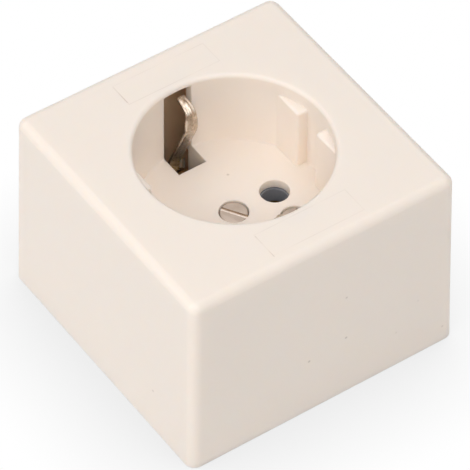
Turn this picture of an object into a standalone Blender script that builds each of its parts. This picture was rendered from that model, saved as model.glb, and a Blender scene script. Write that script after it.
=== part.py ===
# Surface mounted socket with a round plug recess and two side earth clips.
# Metres, +Z out of the wall. The origin is the middle of the back.
# The two pins lie along X, the two earth clips along Y.

import math

import bmesh
import bpy
from mathutils import Matrix, Vector

# Housing
HOUSING_SIDE = 0.0615
HOUSING_HEIGHT = 0.04365
DRAFT_DEGREES = 1.17
SIDE_CORNER_RADIUS = 0.0022
FACE_EDGE_RADIUS = 0.0015
SHELL_WALL = 0.0022
FACE_WALL = 0.0024
INNER_CORNER_RADIUS = 0.0012
KNOCKOUT_WIDTH = 0.016
KNOCKOUT_HEIGHT = 0.012
KNOCKOUT_WALL = 0.0010

# Plug recess
RECESS_DIAMETER = 0.0384
RECESS_DEPTH = 0.0175
RECESS_WALL = 0.0018
RECESS_FLOOR = 0.0020
RIM_RADIUS = 0.00085
FLOOR_FILLET = 0.0005

# Guide ribs beside the pins
GUIDE_HEIGHT = 0.00255
GUIDE_DROP = 0.0032
GUIDE_NOTCH = 0.0058
GUIDE_EDGE_RADIUS = 0.00045

# Pins of the plug
PIN_PITCH = 0.019
PIN_HOLE_DIAMETER = 0.0059
PIN_HOLE_CHAMFER = 0.0003

# Earth slots, windows and the chutes under them
EARTH_SLOT_WIDTH = 0.0063
EARTH_SLOT_REACH = 0.0053
EARTH_POCKET_REACH = 0.0016
WINDOW_LINTEL = 0.00115
CHUTE_WALL = 0.0012
CHUTE_LENGTH = 0.0065
CHUTE_REACH = 0.0008

# Earth clips, as heights over or under the recess floor and the front face
CLIP_THICKNESS = 0.00075
CLIP_WIDTH = 0.0028
CLIP_NECK_WIDTH = 0.0023
CLIP_TIP_WIDTH = 0.00185
CLIP_FOOT_WIDTH = 0.0054
CLIP_FOOT_OFFSET = 0.0016
CLIP_BEND_DROP = 0.00445
CLIP_BEND_RADIUS = 0.009
CLIP_CREST_REACH = 0.00347
CLIP_CREST_LOW = 0.00923
CLIP_CREST_LOW_RADIUS = 0.004
CLIP_CREST_HIGH = 0.00418
CLIP_CREST_HIGH_RADIUS = 0.0019
CLIP_TIP_REACH = 0.0001
CLIP_LEAN = 0.0009
CLIP_BEAD_WIDTH = 0.0010
CLIP_BEAD_HEIGHT = 0.00028

# Earth bar and the rivets that hold the clips
BAR_DROP = 0.01195
BAR_THICKNESS = 0.0011
BAR_WIDTH = 0.0054
BAR_BEND_RADIUS = 0.0012
RIVET_OVER_BAR = 0.0026
RIVET_EDGE = 0.0021
RIVET_DIAMETER = 0.0024
RIVET_HEAD_DIAMETER = 0.0040
RIVET_HEAD_HEIGHT = 0.0007

# Slotted screws
HEAD_DIAMETER = 0.0056
HEAD_HEIGHT = 0.0014
HEAD_SUNK = 0.0003
HEAD_SIDE_GAP = 0.00015
HEAD_CHAMFER = 0.00025
SCREW_SLOT_WIDTH = 0.0008
SCREW_SLOT_DEPTH = 0.0008
THREAD_DIAMETER = 0.0030
COVER_SCREW_SLOT_ANGLE = -57.5
FIXING_SCREW_SLOT_ANGLE = 38.0
TERMINAL_SCREW_SLOT_ANGLE = 15.0
SCREW_TIP_PAST = 0.0015
BOSS_WALL = 0.0006
BOSS_SEAT = 0.0017
FIXING_SCREW_INSET = 0.0007
FIXING_SCREW_WEB = 0.00185
BUSH_DIAMETER = 0.0052
BUSH_LENGTH = 0.0056

# Pin contacts
SLEEVE_BORE = 0.0047
SLEEVE_WALL = 0.0008
SLEEVE_DROP = 0.0058
SLEEVE_STANDOFF = 0.00525
SLEEVE_GAP_DEGREES = 56.0
SLEEVE_FLARE = 0.0005
TONGUE_DROP = 0.01035
TONGUE_WIDTH = 0.0064

# Terminals
TERMINAL_DISTANCE = 0.0092
CLAMP_SIDE = 0.0068
CLAMP_THICKNESS = 0.0011
TERMINAL_HEAD_HEIGHT = 0.0018

# Contact carrier
CARRIER_SIDE_WALL = 0.0058
CARRIER_DROP = 0.00715
CARRIER_END_GAP = 0.0003
CARRIER_CORNER_RADIUS = 0.0025
TOWER_WALL = 0.0025
PIN_TUBE_BORE = 0.0054
PIN_TUBE_WALL = 0.0012
WELL_GAP = 0.00035
WIRE_WAY_WIDTH = 0.0042

# Base plate
BASE_THICKNESS = 0.0026
BASE_CORNER_RADIUS = 0.0012
BASE_RIM_WALL = 0.0014
BASE_RIM_HEIGHT = 0.0034
HOOK_WIDTH = 0.008
HOOK_THICKNESS = 0.0014
HOOK_NOSE = 0.0012
HOOK_NOSE_HEIGHT = 0.0013
WALL_SLOT_WIDTH = 0.0044
WALL_SLOT_LENGTH = 0.009
CABLE_ENTRY_LENGTH = 0.018
CABLE_ENTRY_EDGE = 0.0010
PROP_DISTANCE = 0.0046
PROP_THICKNESS = 0.0022

# Gap between pieces that seat on or in each other, and how far cutters pass the surface
FIT = 0.0003
OVERSHOOT = 0.002
MERGE_DISTANCE = 0.000001
SHARP_DEGREES = 35.0

ROUND_STEPS = 32
RECESS_STEPS = 88
CORNER_STEPS = 6
FILLET_STEPS = 4
ARC_STEPS = 6

DRAFT = math.tan(math.radians(DRAFT_DEGREES))
HALF_SIDE = HOUSING_SIDE / 2
FACE_Z = HOUSING_HEIGHT
FACE_UNDER_Z = FACE_Z - FACE_WALL
FLOOR_Z = FACE_Z - RECESS_DEPTH
FLOOR_UNDER_Z = FLOOR_Z - RECESS_FLOOR
RECESS_RADIUS = RECESS_DIAMETER / 2
CUP_RADIUS = RECESS_RADIUS + RECESS_WALL
PIN_X = PIN_PITCH / 2
PIN_HOLE_RADIUS = PIN_HOLE_DIAMETER / 2

HEAD_RADIUS = HEAD_DIAMETER / 2
HEAD_HOLE_RADIUS = HEAD_RADIUS + HEAD_SIDE_GAP
THREAD_RADIUS = THREAD_DIAMETER / 2
THREAD_HOLE_RADIUS = THREAD_RADIUS + FIT
HEAD_TOP_Z = FLOOR_Z - HEAD_SUNK
HEAD_SEAT_Z = HEAD_TOP_Z - HEAD_HEIGHT - FIT
BOSS_RADIUS = HEAD_HOLE_RADIUS + BOSS_WALL
BOSS_UNDER_Z = HEAD_SEAT_Z - BOSS_SEAT
FIXING_X = PIN_X - FIXING_SCREW_INSET
FIXING_Y = -(PIN_HOLE_RADIUS + FIXING_SCREW_WEB + HEAD_HOLE_RADIUS)

SLOT_HALF = EARTH_SLOT_WIDTH / 2
SLOT_START = RECESS_RADIUS - EARTH_SLOT_REACH
SLOT_END = CUP_RADIUS + EARTH_POCKET_REACH
CHUTE_END = RECESS_RADIUS + CHUTE_REACH
CHUTE_UNDER_Z = FLOOR_UNDER_Z - CHUTE_LENGTH
CHUTE_HALF = SLOT_HALF + CHUTE_WALL
WINDOW_TOP_Z = FACE_Z - WINDOW_LINTEL

BAR_TOP_Z = FLOOR_Z - BAR_DROP
BAR_UNDER_Z = BAR_TOP_Z - BAR_THICKNESS
RIVET_Z = BAR_TOP_Z + RIVET_OVER_BAR
CLIP_Y = RECESS_RADIUS + CLIP_FOOT_OFFSET
BAR_END_Y = CLIP_Y - CLIP_THICKNESS / 2 - FIT
BAR_INNER_Y = BAR_END_Y - BAR_THICKNESS

BASE_TOP_Z = BASE_THICKNESS
RIM_TOP_Z = BASE_TOP_Z + BASE_RIM_HEIGHT
BASE_HALF = HALF_SIDE - SHELL_WALL - DRAFT * RIM_TOP_Z - FIT
CARRIER_UNDER_Z = BASE_TOP_Z + FIT
CARRIER_TOP_Z = FLOOR_Z - CARRIER_DROP
TOWER_TOP_Z = BOSS_UNDER_Z - FIT
TUBE_TOP_Z = FLOOR_UNDER_Z - FIT
PIN_TUBE_RADIUS = PIN_TUBE_BORE / 2 + PIN_TUBE_WALL
SLEEVE_RADIUS = SLEEVE_BORE / 2 + SLEEVE_WALL
SLEEVE_TOP_Z = FLOOR_Z - SLEEVE_DROP
SLEEVE_UNDER_Z = BASE_TOP_Z + SLEEVE_STANDOFF
TONGUE_TOP_Z = FLOOR_Z - TONGUE_DROP
TONGUE_UNDER_Z = TONGUE_TOP_Z - SLEEVE_WALL
WELL_HALF = max(SLEEVE_RADIUS, TONGUE_WIDTH / 2) + WELL_GAP
POCKET_HALF = CLAMP_SIDE / 2 + FIT
CARRIER_HALF_X = PIN_X + WELL_HALF + CARRIER_SIDE_WALL
CARRIER_HALF_Y = BAR_INNER_Y - 2 * FIT - RIVET_HEAD_HEIGHT - CARRIER_END_GAP
HOOK_INNER_X = CARRIER_HALF_X + FIT
HOOK_OUTER_X = HOOK_INNER_X + HOOK_THICKNESS


# Meshes

def link(name, mesh, material=None):
    item = bpy.data.objects.new(name, mesh)
    bpy.context.collection.objects.link(item)
    if material:
        mesh.materials.append(material)
    return item


def shade(mesh):
    mesh.shade_smooth()
    mesh.set_sharp_from_angle(angle=math.radians(SHARP_DEGREES))


def finished_mesh(name, shape):
    bmesh.ops.remove_doubles(shape, verts=shape.verts, dist=MERGE_DISTANCE)
    bmesh.ops.recalc_face_normals(shape, faces=shape.faces)
    mesh = bpy.data.meshes.new(name)
    shape.to_mesh(mesh)
    shape.free()
    shade(mesh)
    return mesh


def circle_points(radius, steps=ROUND_STEPS, x=0, y=0):
    angles = [2 * math.pi * step / steps for step in range(steps)]
    return [(x + radius * math.cos(a), y + radius * math.sin(a)) for a in angles]


def rounded_rectangle(half_x, half_y, radius, x=0, y=0):
    points = []
    for quarter, (side_x, side_y) in enumerate([(1, 1), (-1, 1), (-1, -1), (1, -1)]):
        middle_x = x + side_x * (half_x - radius)
        middle_y = y + side_y * (half_y - radius)
        for step in range(CORNER_STEPS + 1):
            angle = (quarter + step / CORNER_STEPS) * math.pi / 2
            points.append((middle_x + radius * math.cos(angle), middle_y + radius * math.sin(angle)))
    return points


def prism(name, outline, low, high, along="Z", material=None):
    shape = bmesh.new()
    places = {"X": lambda u, v: (low, u, v), "Y": lambda u, v: (u, low, v), "Z": lambda u, v: (u, v, low)}
    lifts = {"X": (high - low, 0, 0), "Y": (0, high - low, 0), "Z": (0, 0, high - low)}
    face = shape.faces.new([shape.verts.new(places[along](u, v)) for u, v in outline])
    grown = bmesh.ops.extrude_face_region(shape, geom=[face])["geom"]
    moved = [item for item in grown if isinstance(item, bmesh.types.BMVert)]
    bmesh.ops.translate(shape, verts=moved, vec=lifts[along])
    return link(name, finished_mesh(name, shape), material)


def block(name, low, high, material=None):
    outline = [(low[0], low[1]), (high[0], low[1]), (high[0], high[1]), (low[0], high[1])]
    return prism(name, outline, low[2], high[2], "Z", material)


def lofted(name, rings, material=None):
    shape = bmesh.new()
    rows = [[shape.verts.new(point) for point in ring] for ring in rings]
    for lower, upper in zip(rows, rows[1:]):
        for index in range(len(lower)):
            after = (index + 1) % len(lower)
            shape.faces.new([lower[index], lower[after], upper[after], upper[index]])
    shape.faces.new(rows[0])
    shape.faces.new(rows[-1])
    return link(name, finished_mesh(name, shape), material)


def turned(name, profile, steps=ROUND_STEPS, material=None):
    shape = bmesh.new()
    points = [shape.verts.new((radius, 0, height)) for radius, height in profile]
    edges = [shape.edges.new(pair) for pair in zip(points, points[1:])]
    bmesh.ops.spin(
        shape, geom=points + edges, cent=(0, 0, 0), axis=(0, 0, 1),
        angle=2 * math.pi, steps=steps, use_merge=True)
    return link(name, finished_mesh(name, shape), material)


def combine(part, tool, operation):
    modifier = part.modifiers.new(tool.name, "BOOLEAN")
    modifier.operation = operation
    modifier.solver = "EXACT"
    modifier.object = tool
    tool.hide_render = True
    tool.display_type = "WIRE"


def cut(part, *tools):
    for tool in tools:
        combine(part, tool, "DIFFERENCE")


def join(part, *additions):
    for addition in additions:
        combine(part, addition, "UNION")


def merge_close_points(mesh):
    surface = bmesh.new()
    surface.from_mesh(mesh)
    bmesh.ops.remove_doubles(surface, verts=surface.verts, dist=MERGE_DISTANCE)
    surface.to_mesh(mesh)
    surface.free()


def settle(part):
    # Applies the Booleans, deletes their tools and gives the new edges their shading.
    tools = [modifier.object for modifier in part.modifiers if modifier.type == "BOOLEAN"]
    bpy.context.view_layer.update()
    evaluated = part.evaluated_get(bpy.context.evaluated_depsgraph_get())
    mesh = bpy.data.meshes.new_from_object(evaluated)
    merge_close_points(mesh)
    part.modifiers.clear()
    part.data = mesh
    mesh.name = part.name
    shade(mesh)
    for tool in tools:
        bpy.data.objects.remove(tool)
    return part


def round_edges(part, width, segments):
    modifier = part.modifiers.new("rounded edges", "BEVEL")
    modifier.width = width
    modifier.segments = segments
    modifier.limit_method = "ANGLE"
    return part


def rounded_path(corners, steps=ARC_STEPS):
    # Each corner is (across, height, radius). Inner corners become arcs.
    points = [Vector(corners[0][:2])]
    for before, corner, after in zip(corners, corners[1:], corners[2:]):
        here = Vector(corner[:2])
        back = (Vector(before[:2]) - here).normalized()
        ahead = (Vector(after[:2]) - here).normalized()
        half = back.angle(ahead) / 2
        if corner[2] == 0:
            points.append(here)
            continue
        middle = here + (back + ahead).normalized() * corner[2] / math.sin(half)
        start = here + back * corner[2] / math.tan(half) - middle
        end = here + ahead * corner[2] / math.tan(half) - middle
        turn = math.atan2(start.cross(end), start.dot(end))
        for step in range(steps + 1):
            points.append(middle + Matrix.Rotation(turn * step / steps, 2) @ start)
    points.append(Vector(corners[-1][:2]))
    return points


def path_normals(points):
    normals = []
    for index in range(len(points)):
        before = points[max(index - 1, 0)]
        after = points[min(index + 1, len(points) - 1)]
        along = (after - before).normalized()
        normals.append(Vector((-along.y, along.x)))
    return normals


def strip_outline(points, thickness):
    normals = path_normals(points)
    left = [point + normal * thickness / 2 for point, normal in zip(points, normals)]
    right = [point - normal * thickness / 2 for point, normal in zip(points, normals)]
    return [tuple(point) for point in left + right[::-1]]


# Cover

def half_side_at(height):
    return HALF_SIDE - DRAFT * height


def square_ring(half, radius, height):
    return [(x, y, height) for x, y in rounded_rectangle(half, half, radius)]


def housing_rings():
    rings = [square_ring(HALF_SIDE, SIDE_CORNER_RADIUS, 0)]
    for step in range(FILLET_STEPS + 1):
        angle = step / FILLET_STEPS * math.pi / 2
        height = FACE_Z - FACE_EDGE_RADIUS * (1 - math.sin(angle))
        inset = FACE_EDGE_RADIUS * (1 - math.cos(angle))
        rings.append(square_ring(half_side_at(height) - inset, SIDE_CORNER_RADIUS - inset, height))
    return rings


def earth_chute(side):
    low = SLOT_START - CHUTE_WALL
    first, last = sorted((side * low, side * CHUTE_END))
    return block("chute", (-CHUTE_HALF, first, CHUTE_UNDER_Z), (CHUTE_HALF, last, FLOOR_Z))


def screw_places():
    return {"cover": (0, 0), "right": (FIXING_X, FIXING_Y), "left": (-FIXING_X, FIXING_Y)}


def cavity():
    # The hollow under the face, less the cup, the screw bosses and the chutes that hang in it.
    rings = [
        square_ring(half_side_at(height) - SHELL_WALL, INNER_CORNER_RADIUS, height)
        for height in (-OVERSHOOT, FACE_UNDER_Z)]
    hollow = lofted("cavity", rings)
    cup = prism("cup", circle_points(CUP_RADIUS, RECESS_STEPS), FLOOR_UNDER_Z, FACE_Z + OVERSHOOT)
    bosses = [
        prism("boss", circle_points(BOSS_RADIUS, ROUND_STEPS, x, y), BOSS_UNDER_Z, FLOOR_Z)
        for x, y in screw_places().values()]
    cut(hollow, cup, *bosses, earth_chute(-1), earth_chute(1))
    return settle(hollow)


def guide_rib(side_x, side_y):
    first_x, last_x = sorted((side_x * (RECESS_RADIUS - GUIDE_HEIGHT), side_x * (CUP_RADIUS + OVERSHOOT)))
    first_y, last_y = sorted((side_y * GUIDE_NOTCH / 2, side_y * RECESS_RADIUS))
    low = (first_x, first_y, FLOOR_UNDER_Z)
    high = (last_x, last_y, FACE_Z - GUIDE_DROP)
    return round_edges(block("guide", low, high), GUIDE_EDGE_RADIUS, 3)


def recess():
    # The space for the plug, less the guide ribs left standing in it.
    angles = [step / FILLET_STEPS * math.pi / 2 for step in range(FILLET_STEPS + 1)]
    profile = [(0, FLOOR_Z)]
    for angle in angles:
        across = RECESS_RADIUS - FLOOR_FILLET * (1 - math.sin(angle))
        profile.append((across, FLOOR_Z + FLOOR_FILLET * (1 - math.cos(angle))))
    for angle in angles:
        across = RECESS_RADIUS + RIM_RADIUS * (1 - math.cos(angle))
        profile.append((across, FACE_Z - RIM_RADIUS * (1 - math.sin(angle))))
    profile.append((RECESS_RADIUS + RIM_RADIUS, FACE_Z + OVERSHOOT))
    profile.append((0, FACE_Z + OVERSHOOT))
    space = turned("recess", profile, RECESS_STEPS)
    cut(space, *[guide_rib(x, y) for x in (-1, 1) for y in (-1, 1)])
    return settle(space)


def pin_hole(x):
    edge = PIN_HOLE_RADIUS + PIN_HOLE_CHAMFER
    profile = [
        (0, BOSS_UNDER_Z - OVERSHOOT), (PIN_HOLE_RADIUS, BOSS_UNDER_Z - OVERSHOOT),
        (PIN_HOLE_RADIUS, FLOOR_Z - PIN_HOLE_CHAMFER), (edge, FLOOR_Z),
        (edge, FLOOR_Z + OVERSHOOT), (0, FLOOR_Z + OVERSHOOT)]
    tool = turned("pin hole", profile)
    tool.location.x = x
    return tool


def screw_hole(x, y):
    profile = [
        (0, BOSS_UNDER_Z - OVERSHOOT), (THREAD_HOLE_RADIUS, BOSS_UNDER_Z - OVERSHOOT),
        (THREAD_HOLE_RADIUS, HEAD_SEAT_Z), (HEAD_HOLE_RADIUS, HEAD_SEAT_Z),
        (HEAD_HOLE_RADIUS, FLOOR_Z + OVERSHOOT), (0, FLOOR_Z + OVERSHOOT)]
    tool = turned("screw hole", profile)
    tool.location = (x, y, 0)
    return tool


def earth_slot(side):
    first, last = sorted((side * SLOT_START, side * SLOT_END))
    low = (-SLOT_HALF, first, CHUTE_UNDER_Z - OVERSHOOT)
    return block("earth slot", low, (SLOT_HALF, last, WINDOW_TOP_Z))


def knockout():
    # Thins the wall over the cable entry from inside, so that it can be broken out.
    outer = half_side_at(KNOCKOUT_HEIGHT) - KNOCKOUT_WALL
    low = (-KNOCKOUT_WIDTH / 2, BASE_HALF, -OVERSHOOT)
    return block("knockout", low, (KNOCKOUT_WIDTH / 2, outer, KNOCKOUT_HEIGHT))


def make_cover(material):
    cover = lofted("cover", housing_rings(), material)
    cut(cover, cavity(), recess())
    cut(cover, pin_hole(-PIN_X), pin_hole(PIN_X), earth_slot(-1), earth_slot(1))
    cut(cover, *[screw_hole(x, y) for x, y in screw_places().values()])
    cut(cover, knockout())
    return settle(cover)


# Base plate

def wall_slot(side):
    middle = (HOOK_OUTER_X + BASE_HALF - BASE_RIM_WALL) / 2
    outline = rounded_rectangle(WALL_SLOT_WIDTH / 2, WALL_SLOT_LENGTH / 2, WALL_SLOT_WIDTH / 2, side * middle)
    return prism("wall slot", outline, -OVERSHOOT, BASE_TOP_Z + OVERSHOOT)


def cable_entry():
    low = CARRIER_HALF_Y + CABLE_ENTRY_EDGE
    high = BASE_HALF - BASE_RIM_WALL - CABLE_ENTRY_EDGE
    half = (high - low) / 2
    outline = rounded_rectangle(CABLE_ENTRY_LENGTH / 2, half, half, 0, (low + high) / 2)
    return prism("cable entry", outline, -OVERSHOOT, BASE_TOP_Z + OVERSHOOT)


def carrier_hook(side):
    nose_x = CARRIER_HALF_X - HOOK_NOSE
    nose_z = CARRIER_TOP_Z + FIT
    top_z = nose_z + HOOK_NOSE_HEIGHT
    outline = [
        (HOOK_INNER_X, BASE_THICKNESS / 2), (HOOK_OUTER_X, BASE_THICKNESS / 2),
        (HOOK_OUTER_X, top_z), (HOOK_INNER_X, top_z), (nose_x, nose_z + HOOK_NOSE_HEIGHT / 4),
        (nose_x, nose_z), (HOOK_INNER_X, nose_z)]
    outline = [(side * x, z) for x, z in outline]
    return prism("hook", outline, -HOOK_WIDTH / 2, HOOK_WIDTH / 2, "Y")


def prop(x, y, top_z):
    half = PROP_THICKNESS / 2
    low = (x - BAR_WIDTH / 2, y - half, BASE_THICKNESS / 2)
    return block("prop", low, (x + BAR_WIDTH / 2, y + half, top_z))


def props():
    # Hold the earth bar and the tongues of the contacts up in the carrier.
    bar = [prop(0, side * PROP_DISTANCE, BAR_UNDER_Z - FIT) for side in (-1, 1)]
    contacts = [prop(side * PIN_X, PROP_DISTANCE + FIT, TONGUE_UNDER_Z - FIT) for side in (-1, 1)]
    return bar + contacts


def make_base_plate(material):
    outline = rounded_rectangle(BASE_HALF, BASE_HALF, BASE_CORNER_RADIUS)
    plate = prism("base_plate", outline, 0, RIM_TOP_Z, "Z", material)
    inner = BASE_HALF - BASE_RIM_WALL
    tray = prism("tray", rounded_rectangle(inner, inner, BASE_CORNER_RADIUS), BASE_TOP_Z, RIM_TOP_Z + OVERSHOOT)
    cut(plate, tray)
    join(plate, carrier_hook(-1), carrier_hook(1), *props())
    cut(plate, wall_slot(-1), wall_slot(1), cable_entry())
    return settle(plate)


# Contact carrier

def tower(x, y, radius, top_z):
    return prism("tower", circle_points(radius, ROUND_STEPS, x, y), CARRIER_UNDER_Z + FIT, top_z)


def pin_bore(x):
    outline = circle_points(PIN_TUBE_BORE / 2, ROUND_STEPS, x, 0)
    return prism("pin bore", outline, CARRIER_UNDER_Z, TUBE_TOP_Z + OVERSHOOT)


def contact_well(x):
    # Takes the sleeve from behind and stops under the pin tube.
    half = WELL_HALF
    return block("well", (x - half, -half, CARRIER_UNDER_Z - OVERSHOOT), (x + half, half, SLEEVE_TOP_Z + FIT))


def tongue_way(x):
    # Lets the terminal tongue in from behind.
    half = TONGUE_WIDTH / 2 + FIT
    low = (x - half, 0, CARRIER_UNDER_Z - OVERSHOOT)
    return block("tongue way", low, (x + half, TERMINAL_DISTANCE + CLAMP_SIDE / 2 + FIT, TONGUE_TOP_Z + FIT))


def terminal_pocket(x):
    low = (x - POCKET_HALF, TERMINAL_DISTANCE - POCKET_HALF, TONGUE_TOP_Z)
    return block("pocket", low, (x + POCKET_HALF, TERMINAL_DISTANCE + POCKET_HALF, TOWER_TOP_Z))


def wire_way(x):
    low = (x - WIRE_WAY_WIDTH / 2, TERMINAL_DISTANCE, TONGUE_TOP_Z)
    return block("wire way", low, (x + WIRE_WAY_WIDTH / 2, CARRIER_HALF_Y + OVERSHOOT, TOWER_TOP_Z))


def earth_pocket():
    low = (-POCKET_HALF, TERMINAL_DISTANCE - POCKET_HALF, BAR_UNDER_Z)
    return block("earth pocket", low, (POCKET_HALF, TERMINAL_DISTANCE + POCKET_HALF, TOWER_TOP_Z))


def bar_channel():
    half = BAR_WIDTH / 2 + FIT
    low = (-half, -CARRIER_HALF_Y - OVERSHOOT, CARRIER_UNDER_Z - OVERSHOOT)
    return block("channel", low, (half, CARRIER_HALF_Y + OVERSHOOT, BAR_TOP_Z + FIT))


def chute_notch(side):
    first, last = sorted((side * (SLOT_START - CHUTE_WALL - FIT), side * (CARRIER_HALF_Y + OVERSHOOT)))
    low = (-CHUTE_HALF - FIT, first, CHUTE_UNDER_Z - FIT)
    return block("notch", low, (CHUTE_HALF + FIT, last, TOWER_TOP_Z))


def bush_seat(x, y):
    radius = BUSH_DIAMETER / 2 + FIT
    seat_z = TOWER_TOP_Z - BUSH_LENGTH - 2 * FIT
    profile = [
        (0, CARRIER_UNDER_Z - OVERSHOOT), (THREAD_HOLE_RADIUS, CARRIER_UNDER_Z - OVERSHOOT),
        (THREAD_HOLE_RADIUS, seat_z), (radius, seat_z),
        (radius, TOWER_TOP_Z + OVERSHOOT), (0, TOWER_TOP_Z + OVERSHOOT)]
    tool = turned("bush seat", profile)
    tool.location = (x, y, 0)
    return tool


def make_carrier(material):
    outline = rounded_rectangle(CARRIER_HALF_X, CARRIER_HALF_Y, CARRIER_CORNER_RADIUS)
    carrier = prism("contact_carrier", outline, CARRIER_UNDER_Z, CARRIER_TOP_Z, "Z", material)
    tower_radius = THREAD_HOLE_RADIUS + TOWER_WALL
    bush_radius = BUSH_DIAMETER / 2 + FIT + TOWER_WALL / 2
    join(carrier, tower(0, 0, tower_radius, TOWER_TOP_Z))
    for side in (-1, 1):
        join(carrier, tower(side * FIXING_X, FIXING_Y, bush_radius, TOWER_TOP_Z))
        join(carrier, tower(side * PIN_X, 0, PIN_TUBE_RADIUS, TUBE_TOP_Z))
    for side in (-1, 1):
        x = side * PIN_X
        cut(carrier, pin_bore(x), contact_well(x), tongue_way(x), terminal_pocket(x), wire_way(x))
        cut(carrier, bush_seat(side * FIXING_X, FIXING_Y), chute_notch(side))
    cut(carrier, bar_channel(), earth_pocket())
    centre = circle_points(THREAD_HOLE_RADIUS)
    cut(carrier, prism("centre hole", centre, BAR_UNDER_Z, TOWER_TOP_Z + OVERSHOOT))
    return settle(carrier)


# Contacts

def sleeve_outline():
    half_gap = math.radians(SLEEVE_GAP_DEGREES) / 2
    steps = 2 * ARC_STEPS
    start = -math.pi / 2 + half_gap
    sweep = 2 * math.pi - 2 * half_gap
    angles = [start + sweep * step / steps for step in range(steps + 1)]
    inner = SLEEVE_BORE / 2
    outer_arc = [(SLEEVE_RADIUS * math.cos(a), SLEEVE_RADIUS * math.sin(a)) for a in angles]
    inner_arc = [(inner * math.cos(a), inner * math.sin(a)) for a in reversed(angles)]
    return outer_arc + inner_arc


def make_contact_mesh(material):
    # A rolled sleeve, open towards -Y, with a terminal tongue folded out at its back.
    sleeve = prism("contact", sleeve_outline(), SLEEVE_UNDER_Z, SLEEVE_TOP_Z, "Z", material)
    inner = SLEEVE_BORE / 2
    mouth = turned("mouth", [
        (0, SLEEVE_TOP_Z - 2 * SLEEVE_FLARE), (inner, SLEEVE_TOP_Z - 2 * SLEEVE_FLARE),
        (inner + SLEEVE_FLARE, SLEEVE_TOP_Z), (inner + SLEEVE_FLARE, SLEEVE_TOP_Z + OVERSHOOT),
        (0, SLEEVE_TOP_Z + OVERSHOOT)])
    half = TONGUE_WIDTH / 2
    back = inner + SLEEVE_WALL / 4
    plate = block("plate", (-half, back, SLEEVE_UNDER_Z + FIT), (half, back + SLEEVE_WALL, TONGUE_TOP_Z))
    end = TERMINAL_DISTANCE + CLAMP_SIDE / 2
    tongue = block("tongue", (-half, back + FIT, TONGUE_UNDER_Z), (half, end, TONGUE_TOP_Z))
    hole = circle_points(THREAD_HOLE_RADIUS, ROUND_STEPS, 0, TERMINAL_DISTANCE)
    join(plate, tongue)
    join(sleeve, settle(plate))
    cut(sleeve, mouth, prism("hole", hole, TONGUE_UNDER_Z - OVERSHOOT, TONGUE_TOP_Z + OVERSHOOT))
    settle(sleeve)
    mesh = sleeve.data
    bpy.data.objects.remove(sleeve)
    return mesh


def make_pin_contacts(material):
    mesh = make_contact_mesh(material)
    for name, x in (("pin_contact_left", -PIN_X), ("pin_contact_right", PIN_X)):
        link(name, mesh).location.x = x


# Earth bar, clips and rivets

def rivet_hole(side):
    reach = CLIP_Y + OVERSHOOT
    first, last = sorted((side * (BAR_INNER_Y - OVERSHOOT), side * reach))
    outline = circle_points(RIVET_DIAMETER / 2 + FIT, ROUND_STEPS, 0, RIVET_Z)
    return prism("rivet hole", outline, first, last, "Y")


def make_earth_bar(material):
    across = BAR_END_Y - BAR_THICKNESS / 2
    level = BAR_TOP_Z - BAR_THICKNESS / 2
    top = RIVET_Z + RIVET_EDGE
    path = rounded_path([
        (-across, top, 0), (-across, level, BAR_BEND_RADIUS),
        (across, level, BAR_BEND_RADIUS), (across, top, 0)])
    outline = strip_outline(path, BAR_THICKNESS)
    bar = prism("earth_bar", outline, -BAR_WIDTH / 2, BAR_WIDTH / 2, "X", material)
    centre = circle_points(THREAD_HOLE_RADIUS)
    terminal = circle_points(THREAD_HOLE_RADIUS, ROUND_STEPS, 0, TERMINAL_DISTANCE)
    cut(bar, rivet_hole(-1), rivet_hole(1))
    for hole in (centre, terminal):
        cut(bar, prism("hole", hole, BAR_UNDER_Z - OVERSHOOT, BAR_TOP_Z + OVERSHOOT))
    return settle(bar)


def clip_path():
    # Centre line of the strip from foot to tip, as (distance from the middle, height).
    foot = RIVET_Z - RIVET_EDGE
    shoulder = RIVET_Z + RIVET_EDGE
    crest_y = RECESS_RADIUS - CLIP_CREST_REACH
    return rounded_path([
        (CLIP_Y, foot, 0),
        (CLIP_Y, shoulder - FIT, 0),
        (CLIP_Y, shoulder + FIT, 0),
        (CLIP_Y, FLOOR_Z - CLIP_BEND_DROP, CLIP_BEND_RADIUS),
        (crest_y, FACE_Z - CLIP_CREST_LOW, CLIP_CREST_LOW_RADIUS),
        (crest_y, FACE_Z - CLIP_CREST_HIGH, CLIP_CREST_HIGH_RADIUS),
        (RECESS_RADIUS - CLIP_TIP_REACH, FACE_Z - CLIP_CREST_HIGH, 0)])


def clip_half_width(index, count):
    # Wide at the foot, narrower round the top bend and narrowest at the tip.
    if index < 2:
        return CLIP_FOOT_WIDTH / 2
    if index == count - 1:
        return CLIP_TIP_WIDTH / 2
    into_bend = max(0, index - (count - 2 - ARC_STEPS)) / ARC_STEPS
    return (CLIP_WIDTH + (CLIP_NECK_WIDTH - CLIP_WIDTH) * into_bend) / 2


def clip_lean(height):
    # The strip leans to one side from its foot up to the crest.
    shoulder = RIVET_Z + RIVET_EDGE
    crest = FACE_Z - CLIP_CREST_LOW
    return CLIP_LEAN * min(1, max(0, (height - shoulder) / (crest - shoulder)))


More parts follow.
